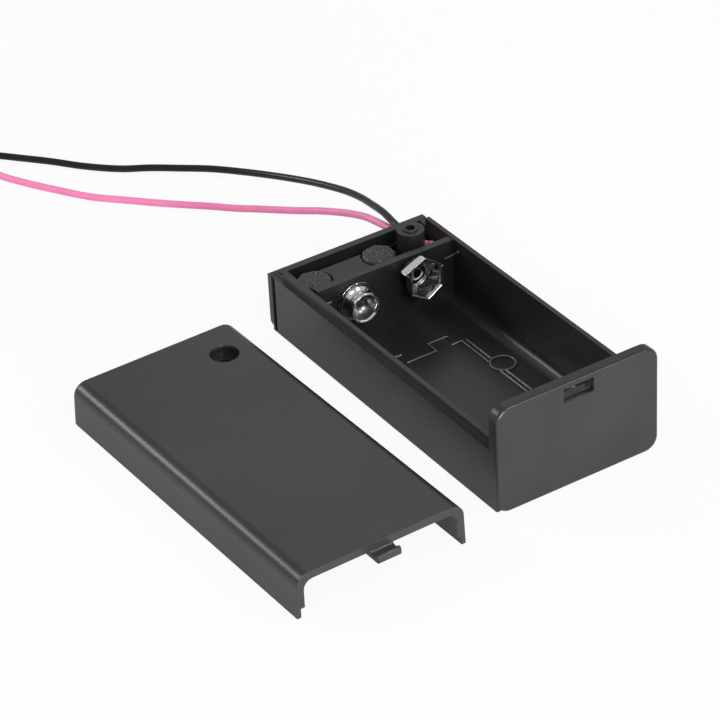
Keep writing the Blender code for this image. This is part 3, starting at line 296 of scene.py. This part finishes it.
# Round wires along lines in mm, each line given with whether it is closed
def roundWires(name, lines, radius, resolution):
    curve = bpy.data.curves.new(name, "CURVE")
    curve.dimensions = "3D"
    curve.bevel_depth = radius * mm
    curve.bevel_resolution = resolution
    curve.use_fill_caps = True
    for points, closed in lines:
        spline = curve.splines.new("POLY")
        spline.points.add(len(points) - 1)
        for point, place in zip(spline.points, points):
            point.co = (*(Vector(place) * mm), 1.0)
        spline.use_cyclic_u = closed
        spline.use_smooth = True
    return curve


def onlyVerts(grown):
    return [g for g in grown if isinstance(g, bmesh.types.BMVert)]


def onlyEdges(grown):
    return [g for g in grown if isinstance(g, bmesh.types.BMEdge)]


# Leads: the routes are the solids' own, in mm

leadSet = {
    "radius": 0.7, "length": 145.0, "step": 1.4, "resolution": 5,
    "coilMiddle": (-122.4, -40.0, 1.1), "coilStep": 1.5, "coilLength": 90.0,  # more than either lead needs
    # the bare end starts inside the insulation and goes on a little past its own length
    "bareLength": 5.0, "bareRadius": 0.4, "bareInside": 0.6, "barePast": 0.1, "bareSteps": 24,
    "lobes": 7, "lobeSteps": 6, "lobeDepth": 0.07, "twist": 2.6,
    "tieRound": 0.08,
}
blackRoute = (
    (-35.9, 11.9, 11.1), (-37.9, 12.0, 11.1), (-40.8, 12.5, 10.95),
    (-43.6, 13.0, 10.6), (-48.8, 13.8, 9.5), (-53.1, 14.3, 8.6), (-58.3, 14.3, 7.5), (-64.8, 13.4, 6.1),
    (-71.0, 12.1, 4.7), (-77.9, 9.7, 3.35), (-84.6, 6.6, 2.2), (-90.2, 3.2, 1.4), (-94.8, -1.0, 0.92),
    (-98.8, -5.5, 0.75), (-102.2, -10.4, 0.7), (-107.4, -15.5, 0.7), (-113.3, -20.0, 0.7),
    (-118.8, -24.8, 0.75), (-124.0, -29.6, 0.95),
)
redRoute = (
    (-35.9, 11.9, 9.5), (-38.4, 11.8, 9.5), (-41.5, 11.4, 9.4),
    (-45.5, 11.1, 8.9), (-47.8, 10.8, 8.4), (-50.6, 10.4, 7.6), (-53.3, 9.8, 6.8), (-57.9, 8.2, 5.5),
    (-61.8, 6.2, 4.4), (-65.8, 4.1, 3.4), (-69.7, 2.0, 2.5), (-74.2, -0.9, 1.6), (-78.6, -3.9, 1.05),
    (-82.4, -7.3, 0.8), (-86.1, -10.8, 0.7), (-91.2, -15.6, 0.7), (-96.5, -20.4, 0.7),
    (-104.0, -25.1, 0.7), (-109.2, -28.1, 0.72), (-113.8, -30.4, 0.8), (-118.4, -31.8, 0.95),
)
leadKinds = (
    # node, piece, insulation, route, then the coil's radius, closing per turn and first angle in degrees
    ("black_lead", "blackLead", blackPvc, blackRoute, (9.3, 0.0, 127)),
    ("red_lead", "redLead", redPvc, redRoute, (7.7, 1.8, 94)),
)


def smoothLine(points, steps=12):
    points = [Vector(p) for p in points]
    fine = [points[0]]
    for i in range(len(points) - 1):
        a, b, c, d = points[max(i - 1, 0)], points[i], points[i + 1], points[min(i + 2, len(points) - 1)]
        for k in range(1, steps + 1):
            t = k / steps
            fine.append(0.5 * (2 * b + (c - a) * t + (2 * a - 5 * b + 4 * c - d) * t * t
                               + (3 * b - a - 3 * c + d) * t ** 3))
    return fine


# The line's points at the given distances from its start
def readAlong(line, stations):
    read, walked, i = [], 0.0, 0
    for station in stations:
        while i < len(line) - 2 and walked + (line[i + 1] - line[i]).length < station:
            walked += (line[i + 1] - line[i]).length
            i += 1
        part = (line[i + 1] - line[i]).length
        read.append(line[i].lerp(line[i + 1], min(max((station - walked) / part, 0), 1)))
    return read


def coilLine(radius, closing, start):
    s = leadSet
    middle, line, walked = Vector(s["coilMiddle"]), [], 0.0
    first = t = math.radians(start)
    while walked < s["coilLength"]:
        reach = radius - closing * (t - first) / (2 * math.pi)
        line.append(middle + Vector((reach * math.cos(t), reach * math.sin(t), 0)))
        t += s["coilStep"] / reach
        walked += s["coilStep"]
    return line


# A tinned bundle: a lobed ring carried along the line with a twist
def strandEnd(s, line):
    bm = bmesh.new()
    segments = s["lobes"] * s["lobeSteps"]
    radius = s["bareRadius"]
    made = bmesh.ops.create_circle(bm, cap_ends=False, radius=radius, segments=segments)["verts"]
    for i, v in enumerate(made):
        v.co *= 1 - s["lobeDepth"] + s["lobeDepth"] * math.cos(2 * math.pi * i / s["lobeSteps"])
    first = ring = bm.edges[:]
    heading = (line[1] - line[0]).normalized()
    turn = Vector((0, 0, 1)).rotation_difference(heading).to_matrix().to_4x4()
    bmesh.ops.transform(bm, matrix=Matrix.Translation(line[0]) @ turn, verts=made)
    for a, b in zip(line, line[1:]):
        grown = bmesh.ops.extrude_edge_only(bm, edges=ring)["geom"]
        ring = onlyEdges(grown)
        spin = Matrix.Rotation(s["twist"] / len(line), 4, (b - a).normalized())
        about = Matrix.Translation(b) @ spin @ Matrix.Translation(-a)
        bmesh.ops.transform(bm, matrix=about, verts=onlyVerts(grown))
    bmesh.ops.contextual_create(bm, geom=first)
    bmesh.ops.contextual_create(bm, geom=ring)
    bmesh.ops.recalc_face_normals(bm, faces=bm.faces[:])
    bmesh.ops.scale(bm, vec=(mm, mm, mm), verts=bm.verts[:])
    return bm


# Gives the lead, the pieces on it and its start
def addLead(node, piece, pvc, route, coil):
    s = leadSet
    fine = smoothLine([*route, *coilLine(*coil)])
    stations = round(s["length"] / s["step"])
    line = readAlong(fine, [s["length"] * i / stations for i in range(stations + 1)])
    tube = roundWires(piece, [(line, False)], s["radius"], s["resolution"])
    lead = addPiece(piece, tube, pvc, node)
    start = s["length"] - s["bareInside"]
    span = s["bareInside"] + s["bareLength"] + s["barePast"]
    bare = readAlong(fine, [start + span * i / s["bareSteps"] for i in range(s["bareSteps"] + 1)])
    end = addPiece(piece + "End", meshFrom(piece + "End", strandEnd(s, bare)), tinned, node + "_end")
    return lead, [end], line[0]


def addLeads():
    s = leadSet
    laid = [addLead(*kind) for kind in leadKinds]
    tieMesh = meshFrom("leadTie", edgeRound(mergedCopy("lead_tie"), s["tieRound"] * mm))
    tie = addPiece("leadTie", tieMesh, tiePlastic, "lead_tie")
    laid[0][1].append(tie)


addLeads()
print("leads laid")


# Tray, lid and retainer: the solids' own shapes, with the moulding's small edge radii

# heights between which an edge's top lies, in mm
everyEdge = (-1.0, 30.0)
upperEdges = (2.2, 30.0)
bottomEdges = (-1.0, 1.9)
mouldings = (
    # node, piece, material, then each rounding's width in mm and its heights
    ("tray", "traySkin", trayAbs, ((0.28, *upperEdges), (0.06, *bottomEdges))),
    ("lid", "lidSkin", lidAbs, ((0.15, *everyEdge),)),
    ("switch_retainer", "retainerSkin", retainerAbs, ((0.12, *everyEdge),)),
)


def addMoulding(node, piece, material, rounds):
    bm = mergedCopy(node)
    for width, low, high in rounds:
        edgeRound(bm, width * mm, low * mm, high * mm)
    mesh = bpy.data.meshes.new(piece)
    bm.to_mesh(mesh)
    bm.free()
    evenNormals(addPiece(piece, mesh, material, node))


for moulding in mouldings:
    addMoulding(*moulding)
print("mouldings done")


# Melted heads over the retainer's two ears: a grainy top that falls off towards its rim

headSet = {
    "radius": 3.1, "places": ((-29.1, -11.15), (-29.4, 2.95)), "low": 10.9, "rise": 1.3,
    "edge": 0.4, "edgeFrom": 0.86,  # how far the rim falls, and from which share of the radius
    # for each ring under the rim: share of the ring before, and height over the lowest point
    "under": ((1.0, 0.35), (0.94, 0), (0.3, 0)),
    "grid": 96, "grain": 0.3, "grainSize": 0.3, "grainLoss": 0.5, "lump": 0.14, "lumpSize": 1.6,
    "sharpAngle": 60,
}


def meltedHead(s, x, y):
    bm = bmesh.new()
    bmesh.ops.create_grid(bm, x_segments=s["grid"], y_segments=s["grid"], size=1.0)
    for v in bm.verts:
        a, b = v.co.x, v.co.y
        a, b = a * math.sqrt(1 - b * b / 2), b * math.sqrt(1 - a * a / 2)  # square to disc
        reach = math.hypot(a, b)
        place = Vector((x + a * s["radius"], y + b * s["radius"], 0))
        grain = noise.noise(place / s["grainSize"]) * s["grain"] * (1 - s["grainLoss"] * reach ** 4)
        lump = noise.noise(place / s["lumpSize"]) * s["lump"]
        fall = s["edge"] * max(reach - s["edgeFrom"], 0) ** 2 / (1 - s["edgeFrom"]) ** 2
        v.co = (place.x, place.y, s["low"] + s["rise"] + grain + lump - fall)
    rim = [e for e in bm.edges if len(e.link_faces) == 1]
    for shrink, height in s["under"]:
        grown = bmesh.ops.extrude_edge_only(bm, edges=rim)["geom"]
        for v in onlyVerts(grown):
            v.co = (x + (v.co.x - x) * shrink, y + (v.co.y - y) * shrink, s["low"] + height)
        rim = onlyEdges(grown)
    bmesh.ops.contextual_create(bm, geom=rim)
    bmesh.ops.recalc_face_normals(bm, faces=bm.faces[:])
    bmesh.ops.scale(bm, vec=(mm, mm, mm), verts=bm.verts[:])
    return bm


for side, (x, y) in zip(("Left", "Right"), headSet["places"]):
    headMesh = meshFrom("meltedHead" + side, meltedHead(headSet, x, y), headSet["sharpAngle"])
    addPiece("meltedHead" + side, headMesh, meltedAbs, "tray", replaces=False)


# Snap terminals: pressed sheet, as one surface with a thickness; sizes in mm

sheetSet = {
    "faceX": snapFace, "sheet": 0.36, "steps": 120, "sharpAngle": 40,
    "rimWidth": 0.14, "rimSegments": 3, "rimAngle": 50,
    # radius past the flange's own, and height from the divider
    "flange": ((-1.0, 0.1), (-0.05, 0.1), (0.03, 0.16), (0, 0.23), (-0.07, 0.25)),
    "flangeTop": 0.26,
}
maleSet = {
    "middle": (-6.3, 8.8), "flangeRadius": 3.76, "slits": (),
    # radius, height from the divider, and share of a hexagon
    "line": ((3.22, 0.25, 0), (3.18, 0.3, 0), (3.12, 0.46, 0), (2.95, 0.64, 0), (2.66, 0.8, 0),
             (2.5, 1.1, 0), (2.46, 1.5, 0), (2.52, 1.9, 0), (2.68, 2.25, 0), (2.88, 2.55, 0),
             (2.99, 2.8, 0), (2.97, 3.02, 0), (2.85, 3.18, 0), (2.67, 3.18, 0), (2.5, 3.0, 0),
             (2.4, 2.7, 0), (2.2, 2.1, 0), (1.9, 1.5, 0), (1.4, 1.0, 0), (0.7, 0.75, 0), (0.05, 0.7, 0)),
    "cupFrom": 16,  # the first point of the line that lies in the cup
}
femaleSet = {
    "middle": (6.35, 10.05), "flangeRadius": 3.05,
    "line": ((2.95, 0.27, 0), (2.9, 0.4, 0), (2.86, 0.8, 0.2), (2.84, 1.2, 0.5), (2.9, 1.7, 0.8),
             (2.98, 2.3, 0.95), (3.06, 2.9, 1), (3.08, 3.3, 1), (3.16, 3.6, 1), (3.3, 3.84, 1),
             (3.42, 3.94, 1)),
    "cupFrom": 11,  # past the last point, as it has no cup
    # how far the sheet stands out of the hexagon, by the angle, and between which heights that grows;
    # where it stands out by more than flareKept, it no longer flares towards its mouth
    "lean": ((-30, 0), (30, 0.4), (91, 0.9), (92, 1.0), (149, 1.6), (151, 0), (210, 0), (270, 0.2),
             (330, 0)),
    "leanFrom": 1.1, "leanTo": 2.1, "flareKept": 0.3,
    # angle, half width in degrees, and the height from which it is open
    "slits": ((152, 6, 1.4), (270, 2.6, 1.8)),
}
# the piece's material slots, in the order in which addSnap fills them
outsideSlot, insideSlot, flatShadeSlot = 0, 1, 2
flatShare = math.cos(math.pi / 6)  # a hexagon's half width over its corner's reach


def hexagonReach(angle, share):
    off = (angle + math.pi / 6) % (math.pi / 3) - math.pi / 6
    return 1 - share + share / math.cos(off)


def leanOut(s, angle, height, flare):
    first = s["lean"][0][0]
    turn = (math.degrees(angle) - first) % 360 + first
    grown = min(max((height - s["leanFrom"]) / (s["leanTo"] - s["leanFrom"]), 0), 1)
    for (a, low), (b, high) in zip(s["lean"], s["lean"][1:]):
        if a <= turn <= b:
            lean = low + (high - low) * (turn - a) / (b - a)
            return (lean + flare * min(max(lean / s["flareKept"] - 1, 0), 1)) * grown
    return 0


# Extrudes a ring in place and gives its new edges, and its new vertices in the old ones' order
def nextRing(bm, edges, verts):
    grown = bmesh.ops.extrude_edge_only(bm, edges=edges)["geom"]
    made = {}
    for g in onlyVerts(grown):
        made[min(range(len(verts)), key=lambda i: (verts[i].co - g.co).length_squared)] = g
    return onlyEdges(grown), [made[i] for i in range(len(verts))]


# Carries a ring out along the profile, which rises along +X, with a hexagon's corner up
def pressedSheet(s):
    flange = tuple((s["flangeRadius"] + past, height, 0) for past, height in s["flange"])
    line = flange + s["line"]
    mouth = line[-1][0]
    midY, midZ = s["middle"]
    bm = bmesh.new()
    verts = bmesh.ops.create_circle(bm, cap_ends=False, radius=1.0, segments=s["steps"])["verts"]
    edges = bm.edges[:]
    angles = [math.atan2(v.co.y, v.co.x) for v in verts]
    for k, (radius, height, share) in enumerate(line):
        if k:
            edges, verts = nextRing(bm, edges, verts)
        for v, t in zip(verts, angles):
            lean = leanOut(s, t, height, mouth - radius) * flatShare if share else 0
            reach = (radius + lean) * hexagonReach(t, share)
            v.co = (height, midY + reach * math.cos(t), midZ + reach * math.sin(t))
        # faces in the cup take the darker painted-shade nickel
        cup = k >= len(flange) + s["cupFrom"]
        # the flat ring just past the flange takes the painted-shade nickel
        index = insideSlot if cup else flatShadeSlot if k == len(flange) else outsideSlot
        for face in {face for edge in edges for face in edge.link_faces}:
            face.material_index = index
    cut = []
    for face in bm.faces:
        p = face.calc_center_median()
        turn = math.degrees(math.atan2(p.z - midZ, p.y - midY))
        if any(p.x > low and abs((turn - at + 180) % 360 - 180) < half for at, half, low in s["slits"]):
            cut.append(face)
    bmesh.ops.delete(bm, geom=cut, context="FACES")
    bmesh.ops.recalc_face_normals(bm, faces=bm.faces[:])
    flangeFaces = [face for face in bm.faces if face.calc_center_median().x < s["flangeTop"]]
    if sum(face.normal.x for face in flangeFaces) < 0:
        bmesh.ops.reverse_faces(bm, faces=bm.faces[:])
    bmesh.ops.translate(bm, vec=(s["faceX"], 0, 0), verts=bm.verts[:])
    bmesh.ops.scale(bm, vec=(mm, mm, mm), verts=bm.verts[:])
    return bm


def addSnap(name, node, ownSet, outside, inside):
    s = {**sheetSet, **ownSet}
    piece = addPiece(name, meshFrom(name, pressedSheet(s), s["sharpAngle"]), outside, node)
    piece.data.materials.append(inside)
    piece.data.materials.append(nickelFlatShade)
    shell = piece.modifiers.new("sheet", "SOLIDIFY")
    shell.thickness = s["sheet"] * mm
    shell.offset = -1.0
    # the inner side's slot holds the darker painted-shade nickel
    shell.material_offset = 1  # the inner side takes the slot after the outer side's
    shell.material_offset_rim = 0
    rim = piece.modifiers.new("rim", "BEVEL")
    rim.width = s["rimWidth"] * mm
    rim.segments = s["rimSegments"]
    rim.limit_method = "ANGLE"
    rim.angle_limit = math.radians(s["rimAngle"])


addSnap("maleStud", "male_stud", maleSet, nickelStud, nickelCupShade)
addSnap("femaleSocket", "female_socket", femaleSet, nickelSocketShaded, nickelPetalShade)
print("snaps pressed")


# Raised strokes on the bay's floor, a ring, two dashes and a hook on the divider: narrow half-round beads

beadSet = {
    "radius": 0.2, "resolution": 3, "floorZ": 1.36, "dividerX": -22.96,
    "floor": (
        ((-10.2, -4.3), (-10.2, 2.1), (-13.0, 2.1), (-13.0, 6.2)),
        ((-10.2, 5.4), (-10.2, 7.6), (-1.7, 7.6)),
        ((-13.0, -7.6), (-13.0, -3.6)), ((-10.2, 8.55), (-2.3, 8.55)),
        ((1.9, 7.6), (12.4, 7.6)), ((2.4, 8.55), (12.4, 8.55)),
    ),
    "ring": (0.1, 9.4, 2.3), "ringSteps": 40,  # middle and radius
    "dashes": (((-13.6, 10.55), (-11.5, 10.62)), ((12.9, 10.4), (14.97, 10.65))),
    "hook": ((-22.96, 14.97, 10.65), (-22.4, 14.97, 10.9), (-21.3, 14.97, 12.0)),
}


def beadLines(s):
    x, y, radius = s["ring"]
    turns = [2 * math.pi * i / s["ringSteps"] for i in range(s["ringSteps"])]
    ring = [(x + radius * math.cos(t), y + radius * math.sin(t), s["floorZ"]) for t in turns]
    lines = [([(a, b, s["floorZ"]) for a, b in stroke], False) for stroke in s["floor"]]
    lines += [([(s["dividerX"], a, b) for a, b in dash], False) for dash in s["dashes"]]
    return [*lines, (ring, True), (s["hook"], False)]


# the beads take the lightened plastic, a painted highlight
beads = roundWires("raisedStrokes", beadLines(beadSet), beadSet["radius"], beadSet["resolution"])
addPiece("raisedStrokes", beads, strokeHighlightAbs, "tray", replaces=False)
print("strokes raised")


# Fittings that keep the solids' own shapes

fittings = (
    # the rivets take the dark painted-shade nickel
    (nickelEyeletShade, ("male_rivet", "female_rivet")),
    (tinned, ("male_tag", "female_tag", "link_wire")),
    (solder, ("solder_red", "solder_black", "solder_link_switch", "solder_link_tag")),
    (brass, ("switch_contact_lead", "switch_contact_link")),
    (bronze, ("switch_wiper",)),
    (retainerAbs, ("switch_slider",)),
    (redPvc, ("red_lead_inside",)),
    (blackPvc, ("black_lead_inside",)),
)
for material, dressed in fittings:
    for node in dressed:
        for slot in nodes[node].material_slots:
            slot.material = material
print("fittings dressed")


# Floor, backdrop and light, in metres

stageSet = {
    "floorSize": 6.0, "floorZ": -0.0002, "floorColor": (0.8, 0.8, 0.8), "floorRoughness": 0.9,
    # how white the floor is for the camera and in reflections
    "seenWhite": 0.92, "glossWhite": 0.3,
    "worldStrength": 0.5, "seenWorld": 1.0,
}


def addFloor(s):
    bpy.ops.mesh.primitive_plane_add(size=s["floorSize"], location=(0, 0, s["floorZ"]))
    floor = bpy.context.active_object
    floor.name = "floor"
    material, tree, shader = newMaterial("paleFloor")
    shader.inputs["Base Color"].default_value = (*s["floorColor"], 1.0)
    shader.inputs["Roughness"].default_value = s["floorRoughness"]
    shader.inputs["Specular IOR Level"].default_value = 0.0
    path = tree.nodes.new("ShaderNodeLightPath")
    seen = tree.nodes.new("ShaderNodeMath")
    seen.operation = "MAXIMUM"
    rays = (("Is Camera Ray", s["seenWhite"]), ("Is Glossy Ray", s["glossWhite"]))
    for i, (ray, share) in enumerate(rays):
        part = tree.nodes.new("ShaderNodeMath")
        part.operation = "MULTIPLY"
        part.inputs[1].default_value = share
        tree.links.new(path.outputs[ray], part.inputs[0])
        tree.links.new(part.outputs[0], seen.inputs[i])
    white = tree.nodes.new("ShaderNodeEmission")
    white.inputs["Strength"].default_value = 1.0
    mix = tree.nodes.new("ShaderNodeMixShader")
    tree.links.new(seen.outputs[0], mix.inputs["Fac"])
    tree.links.new(shader.outputs["BSDF"], mix.inputs[1])
    tree.links.new(white.outputs["Emission"], mix.inputs[2])
    tree.links.new(mix.outputs["Shader"], tree.nodes["Material Output"].inputs["Surface"])
    floor.data.materials.append(material)


# The camera sees a pale world, and the pieces are lit by a weaker white one
def addWorld(s):
    world = bpy.data.worlds.new("studioWorld")
    world.use_nodes = True
    bpy.context.scene.world = world
    tree = world.node_tree
    ground = tree.nodes["Background"]
    ground.inputs["Strength"].default_value = s["worldStrength"]
    ground.inputs["Color"].default_value = (1, 1, 1, 1)
    seenWorld = tree.nodes.new("ShaderNodeBackground")
    seenWorld.inputs["Strength"].default_value = s["seenWorld"]
    path = tree.nodes.new("ShaderNodeLightPath")
    mix = tree.nodes.new("ShaderNodeMixShader")
    tree.links.new(path.outputs["Is Camera Ray"], mix.inputs["Fac"])
    tree.links.new(ground.outputs["Background"], mix.inputs[1])
    tree.links.new(seenWorld.outputs["Background"], mix.inputs[2])
    tree.links.new(mix.outputs["Shader"], tree.nodes["World Output"].inputs["Surface"])


lampSet = (
    # name, place, aim, width and height in metres, power in watts
    ("edgeBox", (-0.70, -0.55, 0.45), (-0.01, -0.03, 0), (0.3, 0.3), 2.2),
    ("plateBox", (0.55, 0.45, 0.70), (0, -0.01, 0.01), (0.16, 0.16), 2.0),
    ("backBox", (-0.32, 0.18, 0.29), (0.03, -0.04, 0.01), (0.16, 0.16), 0.038),
    ("highBox", (0.80, -0.10, 0.50), (0, 0, 0), (0.3, 0.3), 2.4),
    ("frontBox", (0.85, -0.1, 0.07), (0.03, 0, 0.01), (0.35, 0.1), 10.0),
)


def addLamp(name, place, aim, spread, power):
    data = bpy.data.lights.new(name, "AREA")
    data.shape = "RECTANGLE"
    data.size, data.size_y = spread
    data.energy = power
    lamp = bpy.data.objects.new(name, data)
    lamp.location = place
    lamp.rotation_euler = (Vector(place) - Vector(aim)).to_track_quat("Z", "Y").to_euler()
    bpy.context.scene.collection.objects.link(lamp)


addFloor(stageSet)
addWorld(stageSet)
for lamp in lampSet:
    addLamp(*lamp)
bpy.context.scene.view_settings.view_transform = "Standard"
print("stage lit")
